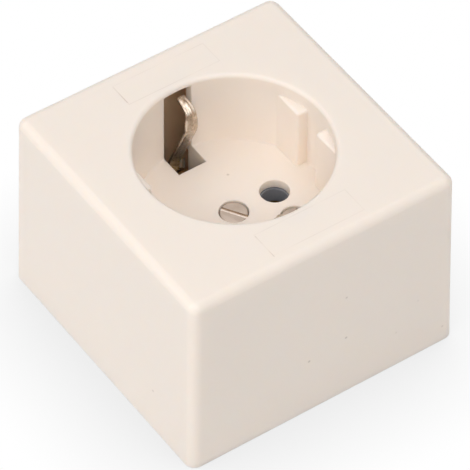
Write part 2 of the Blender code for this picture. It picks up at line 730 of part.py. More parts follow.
def clip_rings():
    # Each ring goes round the strip's section, with the bead on the side of the plug.
    path = clip_path()
    normals = path_normals(path)
    bead_first = 3 + 2 * (ARC_STEPS + 1)
    rings = []
    for index, (point, normal) in enumerate(zip(path, normals)):
        half = clip_half_width(index, len(path))
        inside = bead_first <= index < len(path) - 2
        bead = CLIP_BEAD_HEIGHT if inside else 0
        half_bead = CLIP_BEAD_WIDTH / 2
        section = [
            (-half, -1, 0), (half, -1, 0), (half, 1, 0), (half_bead, 1, 0),
            (half_bead / 2, 1, bead), (-half_bead / 2, 1, bead), (-half_bead, 1, 0), (-half, 1, 0)]
        ring = []
        for across, face, raised in section:
            spot = point + normal * (face * CLIP_THICKNESS / 2 + raised)
            ring.append((across + clip_lean(point.y), spot.x - CLIP_Y, spot.y - RIVET_Z))
        rings.append(ring)
    return rings


def make_earth_clips(material):
    clip = lofted("earth_clip_back", clip_rings(), material)
    hole = prism("hole", circle_points(RIVET_DIAMETER / 2 + FIT), -OVERSHOOT, OVERSHOOT, "Y")
    cut(clip, hole)
    settle(clip)
    clip.location = (0, CLIP_Y, RIVET_Z)
    twin = link("earth_clip_front", clip.data)
    twin.location = (0, -CLIP_Y, RIVET_Z)
    twin.rotation_euler.z = math.pi


def make_rivets(material):
    shank = RIVET_DIAMETER / 2
    head = RIVET_HEAD_DIAMETER / 2
    edge = head - RIVET_HEAD_HEIGHT / 2
    inner = BAR_INNER_Y - CLIP_Y - FIT
    outer = CLIP_THICKNESS / 2 + FIT
    profile = [
        (0, inner - RIVET_HEAD_HEIGHT), (edge, inner - RIVET_HEAD_HEIGHT),
        (head, inner - RIVET_HEAD_HEIGHT / 2), (head, inner), (shank, inner), (shank, outer),
        (head, outer), (head, outer + RIVET_HEAD_HEIGHT / 2),
        (edge, outer + RIVET_HEAD_HEIGHT), (0, outer + RIVET_HEAD_HEIGHT)]
    rivet = turned("rivet_back", profile, ROUND_STEPS // 2, material)
    twin = link("rivet_front", rivet.data)
    for item, side in ((rivet, 1), (twin, -1)):
        item.location = (0, side * CLIP_Y, RIVET_Z)
        item.rotation_euler.x = -side * math.pi / 2


# Screws, bushes and clamps

def slotted_screw(name, place, head_top, head_height, tip, slot_angle, material):
    under = head_top - head_height
    profile = [
        (0, tip), (THREAD_RADIUS - HEAD_CHAMFER, tip), (THREAD_RADIUS, tip + HEAD_CHAMFER),
        (THREAD_RADIUS, under), (HEAD_RADIUS, under), (HEAD_RADIUS, head_top - HEAD_CHAMFER),
        (HEAD_RADIUS - HEAD_CHAMFER, head_top), (0, head_top)]
    screw = turned(name, profile, ROUND_STEPS, material)
    reach = HEAD_RADIUS + OVERSHOOT
    half = SCREW_SLOT_WIDTH / 2
    low = (-reach, -half, head_top - SCREW_SLOT_DEPTH)
    cut(screw, block("slot", low, (reach, half, head_top + OVERSHOOT)))
    settle(screw)
    screw.location = (place[0], place[1], 0)
    screw.rotation_euler.z = math.radians(slot_angle)
    return screw


def make_front_screws(material):
    bar_tip = BAR_UNDER_Z - SCREW_TIP_PAST
    bush_tip = TOWER_TOP_Z - FIT - BUSH_LENGTH - SCREW_TIP_PAST
    places = screw_places()
    for name, spot, tip, angle in (
            ("cover_screw", "cover", bar_tip, COVER_SCREW_SLOT_ANGLE),
            ("fixing_screw_left", "left", bush_tip, FIXING_SCREW_SLOT_ANGLE),
            ("fixing_screw_right", "right", bush_tip, FIXING_SCREW_SLOT_ANGLE)):
        slotted_screw(name, places[spot], HEAD_TOP_Z, HEAD_HEIGHT, tip, angle, material)


def make_bushes(material):
    outer = BUSH_DIAMETER / 2
    outline = circle_points(outer, ROUND_STEPS)
    top = TOWER_TOP_Z - FIT
    bush = prism("screw_bush_left", outline, top - BUSH_LENGTH, top, "Z", material)
    hole = circle_points(THREAD_HOLE_RADIUS)
    cut(bush, prism("hole", hole, top - BUSH_LENGTH - OVERSHOOT, top + OVERSHOOT))
    settle(bush)
    bush.location = (-FIXING_X, FIXING_Y, 0)
    link("screw_bush_right", bush.data).location = (FIXING_X, FIXING_Y, 0)


def make_terminal(label, x, seat_z, under_z, plate_metal, screw_metal):
    low = seat_z + FIT
    outline = rounded_rectangle(CLAMP_SIDE / 2, CLAMP_SIDE / 2, CLAMP_THICKNESS / 2)
    clamp = prism("terminal_clamp_" + label, outline, low, low + CLAMP_THICKNESS, "Z", plate_metal)
    cut(clamp, prism("hole", circle_points(THREAD_HOLE_RADIUS), low - OVERSHOOT, low + OVERSHOOT))
    settle(clamp)
    clamp.location = (x, TERMINAL_DISTANCE, 0)
    head_top = low + CLAMP_THICKNESS + FIT + TERMINAL_HEAD_HEIGHT
    slotted_screw(
        "terminal_screw_" + label, (x, TERMINAL_DISTANCE), head_top, TERMINAL_HEAD_HEIGHT,
        under_z - SCREW_TIP_PAST, TERMINAL_SCREW_SLOT_ANGLE + x / PIN_X * 20, screw_metal)


def make_terminals(plate_metal, screw_metal):
    make_terminal("left", -PIN_X, TONGUE_TOP_Z, TONGUE_UNDER_Z, plate_metal, screw_metal)
    make_terminal("right", PIN_X, TONGUE_TOP_Z, TONGUE_UNDER_Z, plate_metal, screw_metal)
    make_terminal("earth", 0, BAR_TOP_Z, BAR_UNDER_Z, plate_metal, screw_metal)


def make_material(name, colour, roughness, metallic=0.0):
    material = bpy.data.materials.new(name)
    material.use_nodes = True
    shader = material.node_tree.nodes["Principled BSDF"]
    shader.inputs["Base Color"].default_value = (*colour, 1)
    shader.inputs["Roughness"].default_value = roughness
    shader.inputs["Metallic"].default_value = metallic
    material.diffuse_color = (*colour, 1)
    return material


def clear_scene():
    for item in list(bpy.data.objects):
        bpy.data.objects.remove(item)


def main():
    clear_scene()
    cream = make_material("cream plastic", (0.86, 0.76, 0.67), 0.35)
    grey = make_material("grey plastic", (0.32, 0.32, 0.31), 0.5)
    blue_grey = make_material("blue grey plastic", (0.12, 0.14, 0.18), 0.45)
    nickel = make_material("nickel plate", (0.62, 0.57, 0.50), 0.3, 1.0)
    zinc = make_material("zinc plate", (0.55, 0.54, 0.50), 0.4, 1.0)
    brass = make_material("brass", (0.72, 0.53, 0.22), 0.3, 1.0)
    make_cover(cream)
    make_base_plate(grey)
    make_carrier(blue_grey)
    make_pin_contacts(brass)
    make_earth_bar(brass)
    make_earth_clips(nickel)
    make_rivets(zinc)
    make_front_screws(nickel)
    make_bushes(brass)
    make_terminals(zinc, zinc)


main()
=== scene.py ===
# Surface mounted socket: the fine pieces, their finishes, the studio and the camera.
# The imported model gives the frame, in metres, with +Z out of the wall and the pins along X.

import math

import bmesh
import bpy
from mathutils import Matrix, Vector


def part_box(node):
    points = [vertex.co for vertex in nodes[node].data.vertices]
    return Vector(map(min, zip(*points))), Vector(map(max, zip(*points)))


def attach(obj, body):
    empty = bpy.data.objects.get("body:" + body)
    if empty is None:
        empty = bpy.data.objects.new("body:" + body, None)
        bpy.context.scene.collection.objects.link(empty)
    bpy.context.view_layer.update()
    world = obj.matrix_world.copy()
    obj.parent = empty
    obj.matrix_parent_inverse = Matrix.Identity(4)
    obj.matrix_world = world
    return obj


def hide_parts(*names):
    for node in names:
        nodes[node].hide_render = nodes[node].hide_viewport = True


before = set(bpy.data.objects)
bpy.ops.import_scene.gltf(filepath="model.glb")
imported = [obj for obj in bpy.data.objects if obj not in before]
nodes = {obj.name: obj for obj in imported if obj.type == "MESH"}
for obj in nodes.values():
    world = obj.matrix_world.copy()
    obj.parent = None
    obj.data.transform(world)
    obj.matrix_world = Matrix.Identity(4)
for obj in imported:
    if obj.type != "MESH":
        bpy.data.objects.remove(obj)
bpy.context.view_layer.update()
mm = 0.001
print("frame loaded:", len(nodes), "nodes")


# Shader node groups

def newGroup(name, inputs, outputs):
    group = bpy.data.node_groups.new(name, "ShaderNodeTree")
    for label, kind, value in inputs:
        socket = group.interface.new_socket(label, in_out="INPUT", socket_type="NodeSocket" + kind)
        socket.default_value = value
    for label, kind in outputs:
        group.interface.new_socket(label, in_out="OUTPUT", socket_type="NodeSocket" + kind)
    return group, group.nodes.new("NodeGroupInput"), group.nodes.new("NodeGroupOutput")


def addNode(tree, kind, x=0, y=0, **settings):
    node = tree.nodes.new("ShaderNode" + kind)
    node.location = (x, y)
    for key, value in settings.items():
        setattr(node, key, value)
    return node


def plug(tree, source, target):
    # A number or a colour goes in as a fixed value, a socket as a wire.
    if isinstance(source, bpy.types.NodeSocket):
        tree.links.new(source, target)
    else:
        target.default_value = source


def calc(tree, operation, first, second=0.0, third=0.0, clamp=False):
    node = addNode(tree, "Math", operation=operation, use_clamp=clamp)
    for socket, value in zip(node.inputs, (first, second, third)):
        plug(tree, value, socket)
    return node.outputs[0]


def blendColours(tree, factor, first, second):
    node = addNode(tree, "Mix", data_type="RGBA", blend_type="MIX")
    plug(tree, factor, node.inputs[0])
    plug(tree, first, node.inputs[6])
    plug(tree, second, node.inputs[7])
    return node.outputs[2]


def noise(tree, place, scale, detail=2.0, roughness=0.5):
    node = addNode(tree, "TexNoise")
    plug(tree, place, node.inputs["Vector"])
    plug(tree, scale, node.inputs["Scale"])
    node.inputs["Detail"].default_value = detail
    node.inputs["Roughness"].default_value = roughness
    return node.outputs["Fac"]


def buildMouldedSkin():
    # Moulded plastic: broad clouds in the colour, a fine grain and small flow marks.
    group, given, out = newGroup("mouldedSkin", [
        ("Place", "Vector", (0, 0, 0)),
        ("Colour", "Color", (0.8, 0.8, 0.8, 1)), ("Tint", "Color", (0.7, 0.7, 0.7, 1)),
        ("Cloud Scale", "Float", 90.0), ("Cloud Amount", "Float", 0.3),
        ("Grain Scale", "Float", 2600.0), ("Grain Amount", "Float", 0.2),
        ("Gloss", "Float", 0.35), ("Gloss Spread", "Float", 0.08)],
        [("Colour", "Color"), ("Roughness", "Float"), ("Height", "Float")])
    cloud = noise(group, given.outputs["Place"], given.outputs["Cloud Scale"], 3.0, 0.55)
    grain = noise(group, given.outputs["Place"], given.outputs["Grain Scale"], 1.0)
    flowScale = calc(group, "MULTIPLY", given.outputs["Cloud Scale"], 4.0)
    flow = noise(group, given.outputs["Place"], flowScale)
    amount = calc(group, "MULTIPLY", cloud, given.outputs["Cloud Amount"], clamp=True)
    tinted = blendColours(group, amount, given.outputs["Colour"], given.outputs["Tint"])
    group.links.new(tinted, out.inputs["Colour"])
    offset = calc(group, "MULTIPLY", calc(group, "SUBTRACT", flow, 0.5), given.outputs["Gloss Spread"])
    group.links.new(calc(group, "ADD", given.outputs["Gloss"], offset, clamp=True), out.inputs["Roughness"])
    waves = calc(group, "MULTIPLY", flow, 0.35)
    height = calc(group, "ADD", calc(group, "MULTIPLY", grain, given.outputs["Grain Amount"]), waves)
    group.links.new(height, out.inputs["Height"])
    return group


def buildMetalSkin():
    # Plated or drawn metal: streaks along one way, cloudy tarnish and fine scratches.
    group, given, out = newGroup("metalSkin", [
        ("Place", "Vector", (0, 0, 0)),
        ("Colour", "Color", (0.7, 0.7, 0.7, 1)), ("Tarnish", "Color", (0.4, 0.35, 0.3, 1)),
        ("Tarnish Amount", "Float", 0.3), ("Cloud Scale", "Float", 420.0), ("Streak Scale", "Float", 4000.0),
        ("Streak Amount", "Float", 0.3), ("Polish", "Float", 0.25)],
        [("Colour", "Color"), ("Roughness", "Float"), ("Height", "Float")])
    stretch = addNode(group, "Mapping")
    group.links.new(given.outputs["Place"], stretch.inputs["Vector"])
    stretch.inputs["Scale"].default_value = (1.0, 0.12, 0.12)
    streak = noise(group, stretch.outputs[0], given.outputs["Streak Scale"], 3.0, 0.6)
    cloud = noise(group, given.outputs["Place"], given.outputs["Cloud Scale"], 4.0, 0.65)
    patch = calc(group, "MULTIPLY", calc(group, "SUBTRACT", cloud, 0.25), 2.2, clamp=True)
    amount = calc(group, "MULTIPLY", patch, given.outputs["Tarnish Amount"], clamp=True)
    colour = blendColours(group, amount, given.outputs["Colour"], given.outputs["Tarnish"])
    group.links.new(colour, out.inputs["Colour"])
    rough = calc(group, "ADD", given.outputs["Polish"], calc(group, "MULTIPLY", amount, 0.25))
    swing = calc(group, "MULTIPLY", calc(group, "SUBTRACT", streak, 0.5), given.outputs["Streak Amount"])
    group.links.new(calc(group, "ADD", rough, swing, clamp=True), out.inputs["Roughness"])
    group.links.new(calc(group, "MULTIPLY", streak, given.outputs["Streak Amount"]), out.inputs["Height"])
    return group


def buildEdgeWear():
    # Convex edges, slightly rubbed: 1 on the edge and 0 on the flats.
    group, given, out = newGroup("edgeWear", [
        ("Place", "Vector", (0, 0, 0)), ("Spread", "Float", 12.0), ("Break Up", "Float", 0.5)],
        [("Mask", "Float")])
    shape = addNode(group, "NewGeometry")
    raised = calc(group, "SUBTRACT", shape.outputs["Pointiness"], 0.52)
    mask = calc(group, "MULTIPLY", raised, given.outputs["Spread"], clamp=True)
    patches = noise(group, given.outputs["Place"], 1300.0)
    kept = calc(group, "SUBTRACT", 1.0, calc(group, "MULTIPLY", patches, given.outputs["Break Up"]))
    group.links.new(calc(group, "MULTIPLY", mask, kept, clamp=True), out.inputs["Mask"])
    return group


def buildSpeck():
    # One small dark mark at a spot of the surface, a little ragged.
    group, given, out = newGroup("speck", [
        ("Place", "Vector", (0, 0, 0)), ("Spot", "Vector", (0, 0, 0)), ("Size", "Float", 0.0003)],
        [("Mask", "Float")])
    far = addNode(group, "VectorMath", operation="DISTANCE")
    group.links.new(given.outputs["Place"], far.inputs[0])
    group.links.new(given.outputs["Spot"], far.inputs[1])
    ragged = noise(group, given.outputs["Place"], 5200.0)
    size = calc(group, "MULTIPLY", given.outputs["Size"], calc(group, "ADD", ragged, 0.5))
    share = calc(group, "DIVIDE", far.outputs["Value"], size)
    group.links.new(calc(group, "SUBTRACT", 1.5, share, clamp=True), out.inputs["Mask"])
    return group


def buildWitnessLine():
    # The outline that a mould insert leaves: a thin, patchy rectangle in the plane of the face.
    group, given, out = newGroup("witnessLine", [
        ("Place", "Vector", (0, 0, 0)), ("Middle", "Vector", (0, 0, 0)),
        ("Half Size", "Vector", (0.01, 0.003, 0)), ("Width", "Float", 0.00017),
        ("Patch Scale", "Float", 190.0)],
        [("Mask", "Float")])
    moved = addNode(group, "VectorMath", operation="SUBTRACT")
    group.links.new(given.outputs["Place"], moved.inputs[0])
    group.links.new(given.outputs["Middle"], moved.inputs[1])
    folded = addNode(group, "VectorMath", operation="ABSOLUTE")
    group.links.new(moved.outputs[0], folded.inputs[0])
    inset = addNode(group, "VectorMath", operation="SUBTRACT")
    group.links.new(folded.outputs[0], inset.inputs[0])
    group.links.new(given.outputs["Half Size"], inset.inputs[1])
    parts = addNode(group, "SeparateXYZ")
    group.links.new(inset.outputs[0], parts.inputs[0])
    edge = calc(group, "MAXIMUM", parts.outputs[0], parts.outputs[1])
    away = calc(group, "DIVIDE", calc(group, "ABSOLUTE", edge), given.outputs["Width"])
    line = calc(group, "SUBTRACT", 1.0, away, clamp=True)
    level = calc(group, "COMPARE", parts.outputs[2], 0.0, 0.0002)
    cloud = noise(group, given.outputs["Place"], given.outputs["Patch Scale"])
    patches = calc(group, "SUBTRACT", calc(group, "MULTIPLY", cloud, 2.6), 0.8, clamp=True)
    faded = calc(group, "MULTIPLY", line, patches)
    group.links.new(calc(group, "MULTIPLY", faded, level), out.inputs["Mask"])
    return group


groups = {
    "mouldedSkin": buildMouldedSkin(), "metalSkin": buildMetalSkin(), "edgeWear": buildEdgeWear(),
    "speck": buildSpeck(), "witnessLine": buildWitnessLine()}
print("shader groups built:", len(groups))


# Materials

def placeGroup(tree, name, **values):
    node = addNode(tree, "Group", node_tree=groups[name])
    for label, value in values.items():
        plug(tree, value, node.inputs[label.replace("_", " ")])
    return node


def newMaterial(name, bumpDistance, bumpStrength, **sockets):
    material = bpy.data.materials.new(name)
    material.use_nodes = True
    tree = material.node_tree
    shader = tree.nodes["Principled BSDF"]
    for label, value in sockets.items():
        shader.inputs[label.replace("_", " ")].default_value = value
    place = addNode(tree, "TexCoord", -1200, 0).outputs["Object"]
    bump = addNode(tree, "Bump", -200, -300)
    bump.inputs["Distance"].default_value = bumpDistance
    bump.inputs["Strength"].default_value = bumpStrength
    tree.links.new(bump.outputs[0], shader.inputs["Normal"])
    return material, tree, shader, place, bump


def placeSkin(tree, place, look):
    return placeGroup(
        tree, "mouldedSkin", Place=place, Colour=look["colour"], Tint=look["tint"],
        Cloud_Scale=look["cloudScale"], Cloud_Amount=look["cloudAmount"], Grain_Amount=look["grainAmount"],
        Gloss=look["gloss"], Gloss_Spread=look["glossSpread"])


creamPlastic = {
    "colour": (0.942, 0.864, 0.789, 1), "tint": (0.922, 0.838, 0.753, 1),
    "cloudScale": 70.0, "cloudAmount": 0.5,
    "gloss": 0.44, "glossSpread": 0.08, "grainAmount": 0.2, "bumpDistance": 0.00002, "bumpStrength": 0.35,
    "glow": 0.5, "glowRadius": (1.0, 0.82, 0.66), "glowDepth": 0.0026, "edgeSpread": 8.0, "edgeShine": 0.06,
    "speckColour": (0.20, 0.15, 0.11, 1), "lineColour": (0.55, 0.46, 0.38, 1),
}

# The same plastic in the hollow of the cover, a little duller, with a browner colour as painted shade.
creamInsidePaintedShade = dict(
    creamPlastic, colour=(0.875, 0.730, 0.525, 1), tint=(0.835, 0.680, 0.465, 1), gloss=0.5)

# The sides of the chutes under the earth slots, painted dark brown as shade.
creamChutePaintedShade = dict(
    creamPlastic, colour=(0.36, 0.26, 0.175, 1), tint=(0.28, 0.20, 0.13, 1), gloss=0.55, glow=0.1)


def makeCreamPlastic(name, look, specks=(), inserts=()):
    material, tree, shader, place, bump = newMaterial(
        name, look["bumpDistance"], look["bumpStrength"], IOR=1.45, Subsurface_Weight=look["glow"],
        Subsurface_Radius=look["glowRadius"], Subsurface_Scale=look["glowDepth"])
    skin = placeSkin(tree, place, look)
    colour, height = skin.outputs["Colour"], skin.outputs["Height"]
    for middle, halfSize, strength in inserts:
        line = placeGroup(tree, "witnessLine", Place=place, Middle=middle, Half_Size=halfSize)
        shade = calc(tree, "MULTIPLY", line.outputs["Mask"], strength)
        colour = blendColours(tree, shade, colour, look["lineColour"])
        height = calc(tree, "SUBTRACT", height, shade)
    for spot, size, strength in specks:
        mark = placeGroup(tree, "speck", Place=place, Spot=spot, Size=size)
        shade = calc(tree, "MULTIPLY", mark.outputs["Mask"], strength)
        colour = blendColours(tree, shade, colour, look["speckColour"])
    wear = placeGroup(tree, "edgeWear", Place=place, Spread=look["edgeSpread"])
    shine = calc(tree, "MULTIPLY", wear.outputs["Mask"], look["edgeShine"])
    rough = calc(tree, "SUBTRACT", skin.outputs["Roughness"], shine)
    tree.links.new(colour, shader.inputs["Base Color"])
    tree.links.new(rough, shader.inputs["Roughness"])
    tree.links.new(height, bump.inputs["Height"])
    return material


greyPlastic = {
    "colour": (0.40, 0.33, 0.26, 1), "tint": (0.33, 0.27, 0.21, 1),
    "cloudScale": 110.0, "cloudAmount": 0.4,
    "gloss": 0.48, "glossSpread": 0.12, "grainAmount": 0.5, "bumpDistance": 0.00003, "bumpStrength": 0.6,
    "edgeSpread": 6.0, "edgeAmount": 0.45, "edgeColour": (0.70, 0.581, 0.462, 1),
}

blueGreyPlastic = dict(
    greyPlastic, colour=(0.25, 0.27, 0.305, 1), tint=(0.20, 0.215, 0.245, 1), gloss=0.42, grainAmount=0.4,
    edgeColour=(0.445, 0.479, 0.5385, 1))


def makePlastic(name, look):
    material, tree, shader, place, bump = newMaterial(
        name, look["bumpDistance"], look["bumpStrength"], IOR=1.5)
    skin = placeSkin(tree, place, look)
    wear = placeGroup(tree, "edgeWear", Place=place, Spread=look["edgeSpread"])
    share = calc(tree, "MULTIPLY", wear.outputs["Mask"], look["edgeAmount"])
    worn = blendColours(tree, share, skin.outputs["Colour"], look["edgeColour"])
    tree.links.new(worn, shader.inputs["Base Color"])
    tree.links.new(skin.outputs["Roughness"], shader.inputs["Roughness"])
    tree.links.new(skin.outputs["Height"], bump.inputs["Height"])
    return material


nickelPlate = {
    "colour": (0.76, 0.67, 0.57, 1), "tarnish": (0.26, 0.18, 0.12, 1), "tarnishAmount": 0.75,
    "cloudScale": 900.0, "polish": 0.20, "streaks": 0.18,
    "edgeSpread": 9.0, "edgeColour": (0.94, 0.88, 0.82, 1), "edgeRough": 0.3,
    "bumpDistance": 0.000008, "bumpStrength": 0.7,
}

# The heads of the screws, dull with age.
screwPlate = dict(
    nickelPlate, colour=(0.40, 0.34, 0.29, 1), tarnish=(0.26, 0.20, 0.16, 1), tarnishAmount=0.5,
    cloudScale=420.0, polish=0.26, streaks=0.22, edgeColour=(0.42, 0.35, 0.30, 1), edgeRough=0.0)

# Painted shade on the sides of the screw slots, dark as their shadow.
slotPaintedShade = dict(
    nickelPlate, colour=(0.34, 0.24, 0.165, 1), tarnish=(0.045, 0.028, 0.018, 1), tarnishAmount=1.0,
    cloudScale=700.0, polish=0.4, streaks=0.2, edgeColour=(0.5, 0.38, 0.28, 1), edgeRough=0.0)

brassSheet = dict(
    nickelPlate, colour=(0.30, 0.20, 0.095, 1), tarnish=(0.12, 0.075, 0.035, 1), tarnishAmount=0.7,
    cloudScale=420.0, polish=0.28, streaks=0.18, edgeColour=(0.80, 0.62, 0.34, 1), edgeRough=0.0)

zincPlate = dict(
    nickelPlate, colour=(0.64, 0.64, 0.62, 1), tarnish=(0.45, 0.43, 0.38, 1), tarnishAmount=0.4,
    cloudScale=420.0, polish=0.33, streaks=0.2, edgeColour=(0.8, 0.8, 0.78, 1), edgeRough=0.0)


def makeMetal(name, look):
    material, tree, shader, place, bump = newMaterial(
        name, look["bumpDistance"], look["bumpStrength"], Metallic=1.0)
    skin = placeGroup(
        tree, "metalSkin", Place=place, Colour=look["colour"], Tarnish=look["tarnish"],
        Tarnish_Amount=look["tarnishAmount"], Cloud_Scale=look["cloudScale"], Polish=look["polish"],
        Streak_Amount=look["streaks"])
    wear = placeGroup(tree, "edgeWear", Place=place, Spread=look["edgeSpread"])
    worn = blendColours(tree, wear.outputs["Mask"], skin.outputs["Colour"], look["edgeColour"])
    tree.links.new(worn, shader.inputs["Base Color"])
    rubbed = calc(tree, "MULTIPLY", wear.outputs["Mask"], look["edgeRough"])
    rough = calc(tree, "ADD", skin.outputs["Roughness"], rubbed, clamp=True)
    tree.links.new(rough, shader.inputs["Roughness"])
    tree.links.new(skin.outputs["Height"], bump.inputs["Height"])
    return material


# Mesh tools

def linkPiece(name, shape):
    bmesh.ops.remove_doubles(shape, verts=shape.verts, dist=1e-7)
    bmesh.ops.recalc_face_normals(shape, faces=shape.faces)
    mesh = bpy.data.meshes.new(name)
    shape.to_mesh(mesh)
    shape.free()
    piece = bpy.data.objects.new(name, mesh)
    bpy.context.scene.collection.objects.link(piece)
    return piece


def arc(centre, radius, first, last, steps):
    # Points on a circle from one angle to another, in degrees.
    points = []
    for step in range(steps + 1):
        angle = math.radians(first + (last - first) * step / steps)
        points.append((centre[0] + radius * math.cos(angle), centre[1] + radius * math.sin(angle)))
    return points


def roundedSquare(half, radius, steps):
    points = []
    for start, (x, y) in zip((0, 90, 180, 270), ((1, 1), (-1, 1), (-1, -1), (1, -1))):
        points += arc((x * (half - radius), y * (half - radius)), radius, start, start + 90, steps)
    return points


def stackRings(name, rings):
    # Closes a solid through rings that all have the same number of points.
    shape = bmesh.new()
    rows = [[shape.verts.new(point) for point in ring] for ring in rings]
    for lower, upper in zip(rows, rows[1:]):
        for index in range(len(lower)):
            after = (index + 1) % len(lower)
            shape.faces.new([lower[index], lower[after], upper[after], upper[index]])
    shape.faces.new(rows[0])
    shape.faces.new(rows[-1])
    return linkPiece(name, shape)


def turnSolid(name, profile, steps, middle=(0, 0)):
    shape = bmesh.new()
    points = [shape.verts.new((radius, 0, height)) for radius, height in profile]
    edges = [shape.edges.new(pair) for pair in zip(points, points[1:])]
    bmesh.ops.spin(
        shape, geom=points + edges, cent=(0, 0, 0), axis=(0, 0, 1), angle=2 * math.pi, steps=steps,
        use_merge=True)
    bmesh.ops.translate(shape, verts=shape.verts, vec=(middle[0], middle[1], 0))
    return linkPiece(name, shape)


def boxSolid(name, low, high):
    outline = [(low[0], low[1]), (high[0], low[1]), (high[0], high[1]), (low[0], high[1])]
    return stackRings(name, [[(x, y, low[2]) for x, y in outline], [(x, y, high[2]) for x, y in outline]])


def postSolid(name, radius, low, high, middle=(0, 0), steps=64):
    outline = arc(middle, radius, 0, 360, steps)[:-1]
    return stackRings(name, [[(x, y, low) for x, y in outline], [(x, y, high) for x, y in outline]])


def roundAllEdges(piece, width, segments):
    rounding = piece.modifiers.new("roundedEdges", "BEVEL")
    rounding.width = width
    rounding.segments = segments
    rounding.limit_method = "ANGLE"
    return piece


def applyModifiers(piece):
    bpy.context.view_layer.update()
    mesh = bpy.data.meshes.new_from_object(piece.evaluated_get(bpy.context.evaluated_depsgraph_get()))
    piece.modifiers.clear()
    old = piece.data
    piece.data = mesh
    bpy.data.meshes.remove(old)
    return piece


def sortByPlace(shape):
    # A joined shape can come with its corners in another order on each run, so the order is set here.
    slant = Vector((1.0, 0.618, 0.414))
    shape.verts.sort(key=lambda corner: corner.co.dot(slant))
    shape.edges.sort(key=lambda edge: (edge.verts[0].co + edge.verts[1].co).dot(slant))
    shape.faces.sort(key=lambda face: face.calc_center_median().dot(slant))
    for items in (shape.verts, shape.edges, shape.faces):
        items.index_update()


def carve(piece, tools, operation="DIFFERENCE"):
    for tool in tools:
        cutting = piece.modifiers.new(tool.name, "BOOLEAN")
        cutting.operation = operation
        cutting.solver = "EXACT"
        cutting.object = tool
    applyModifiers(piece)
    for tool in tools:
        bpy.data.objects.remove(tool)
    shape = bmesh.new()
    shape.from_mesh(piece.data)
    if operation == "UNION":
        sortByPlace(shape)
    bmesh.ops.remove_doubles(shape, verts=shape.verts, dist=1e-6)
    shape.to_mesh(piece.data)
    shape.free()
    return piece


def softenChosenEdges(piece, width, segments, chosen, sharpAngle=38):
    # Rounds the sharp edges whose two ends both pass the test.
    shape = bmesh.new()
    shape.from_mesh(piece.data)
    edges = [
        edge for edge in shape.edges
        if len(edge.link_faces) == 2 and edge.calc_face_angle(0) > math.radians(sharpAngle)
        and all(chosen(corner.co) for corner in edge.verts)]
    bmesh.ops.bevel(
        shape, geom=edges, offset=width, offset_type="OFFSET", segments=segments, profile=0.5,
        affect="EDGES", clamp_overlap=False)
    shape.to_mesh(piece.data)
    shape.free()
    return len(edges)


def joinFlatFaces(piece):
    # One face for each flat area, so that its shading stays even.
    shape = bmesh.new()
    shape.from_mesh(piece.data)
    bmesh.ops.dissolve_limit(shape, angle_limit=math.radians(0.3), verts=shape.verts, edges=shape.edges)
    shape.to_mesh(piece.data)
    shape.free()


def smoothSurface(piece, sharpAngle=35):
    piece.data.shade_smooth()
    piece.data.set_sharp_from_angle(angle=math.radians(sharpAngle))
    weighting = piece.modifiers.new("evenNormals", "WEIGHTED_NORMAL")
    weighting.keep_sharp = True
    weighting.weight = 100
    return applyModifiers(piece)


def dress(piece, material, body, node):
    piece.data.materials.append(material)
    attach(piece, body)
    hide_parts(node)
    return piece


# Cover

cover = {
    "halfSide": 30.75, "height": 43.65, "draft": math.tan(math.radians(1.17)), "footEdge": 0.12,
    "cornerRadius": 2.2, "cornerSteps": 12, "edgeRadius": 1.8, "edgeBend": 1.12, "edgeSteps": 12,
    "wall": 2.2, "faceWall": 2.4, "innerCorner": 1.2, "innerSteps": 6,
    "recessRadius": 19.2, "recessFloor": 26.15, "floorFillet": 0.35, "rimRadius": 0.85,
    "cupRadius": 21.0, "floorUnder": 24.15, "roundSteps": 180, "holeSteps": 72,
    "ribHeight": 2.55, "ribTop": 40.45, "ribNotch": 2.9, "ribEdge": 0.6,
    "pinX": 9.5, "pinRadius": 2.95, "pinEdge": 0.15,
    "slotHalf": 3.15, "slotStart": 13.9, "slotEnd": 22.6, "slotTop": 42.5, "slotEdge": 0.16,
    "chuteHalf": 4.35, "chuteStart": 12.7, "chuteEnd": 20.0, "chuteUnder": 17.65,
    "headRadius": 2.95, "headSeat": 24.15, "threadRadius": 1.8, "bossRadius": 3.55, "bossUnder": 22.45,
    "screwSpots": ((0, 0), (8.8, -7.75), (-8.8, -7.75)), "screwEdge": 0.12,
    "knockoutHalf": 8.0, "knockoutHeight": 12.0, "knockoutFrom": 28.1, "knockoutWall": 1.0, "beyond": 2.0,
}


def coverHalf(size, height):
    return size["halfSide"] - size["draft"] * height


def scaled(points, height):
    return [(x * mm, y * mm, height * mm) for x, y in points]


def coverShell(size):
    # The outer block. A bend over 1 makes the rounding of its top edges a little flatter in the middle.
    rings = []
    for inset, height in ((size["footEdge"], 0.0), (0.0, size["footEdge"])):
        half = coverHalf(size, height) - inset
        rings.append(scaled(roundedSquare(half, size["cornerRadius"] - inset, size["cornerSteps"]), height))
    edge = size["edgeRadius"]
    for step in range(size["edgeSteps"] + 1):
        angle = math.radians(90 * step / size["edgeSteps"])
        height = size["height"] - edge * (1 - math.sin(angle) ** size["edgeBend"])
        inset = edge * (1 - math.cos(angle) ** size["edgeBend"])
        half = coverHalf(size, height) - inset
        rings.append(scaled(roundedSquare(half, size["cornerRadius"] - inset, size["cornerSteps"]), height))
    return stackRings("socketCover", rings)


